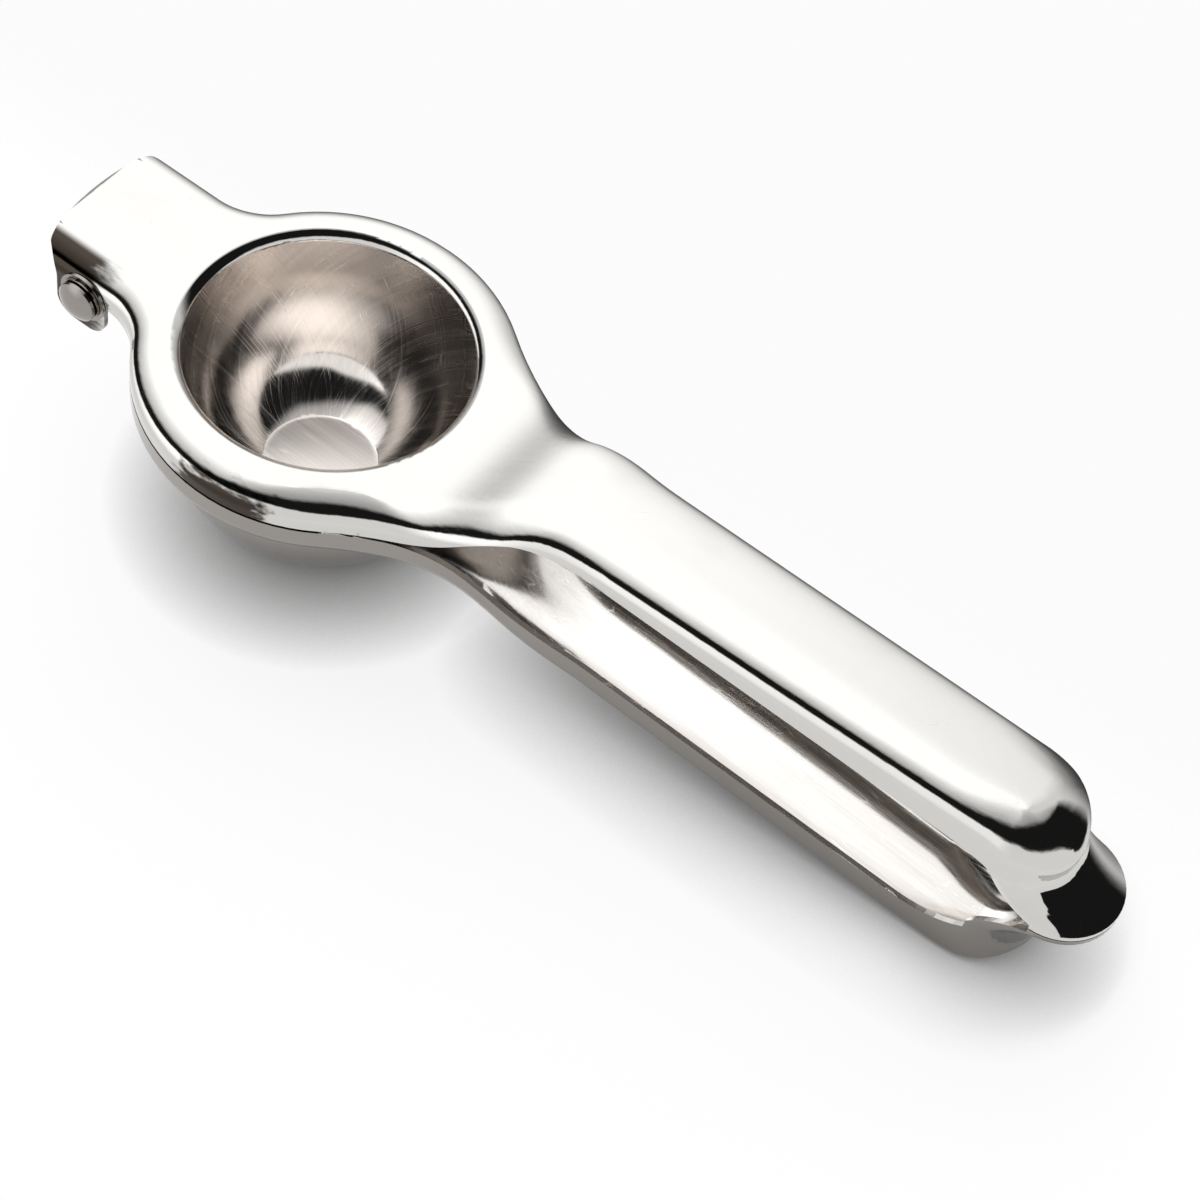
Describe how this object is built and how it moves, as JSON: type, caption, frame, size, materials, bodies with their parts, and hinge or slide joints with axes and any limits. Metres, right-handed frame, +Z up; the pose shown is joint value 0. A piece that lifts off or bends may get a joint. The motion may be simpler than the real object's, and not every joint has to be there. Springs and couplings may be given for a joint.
{
  "type": "hinged lemon squeezer",
  "caption": "Hinged citrus squeezer of pressed sheet metal: a perforated bowl on the lower lever, a press cup on the upper, channel handles with flared lips.",
  "frame": {"origin": "middle of the flat underside of the strainer bowl", "axes": "+X from the hinge towards the handle tips, +Z up, out of the bowl's mouth, with the levers closed"},
  "size_m": [0.2222, 0.0696, 0.0501],
  "materials": {
    "polished_steel": "mirror polished stainless steel sheet",
    "pin_steel": "polished stainless steel"
  },
  "bodies": {
    "strainer": {"strainer_lever": "polished_steel", "near_spacer": "pin_steel", "far_spacer": "pin_steel"},
    "press": {"press_lever": "polished_steel", "hinge_pin": "pin_steel", "near_ring": "pin_steel", "near_washer": "pin_steel"}
  },
  "joints": [
    {"name": "hinge", "type": "hinge", "parent": "strainer", "child": "press", "pos_m": [-0.0434, 0, 0.0324], "axis": [0, -1, 0], "range_deg": [0, 115]}
  ]
}
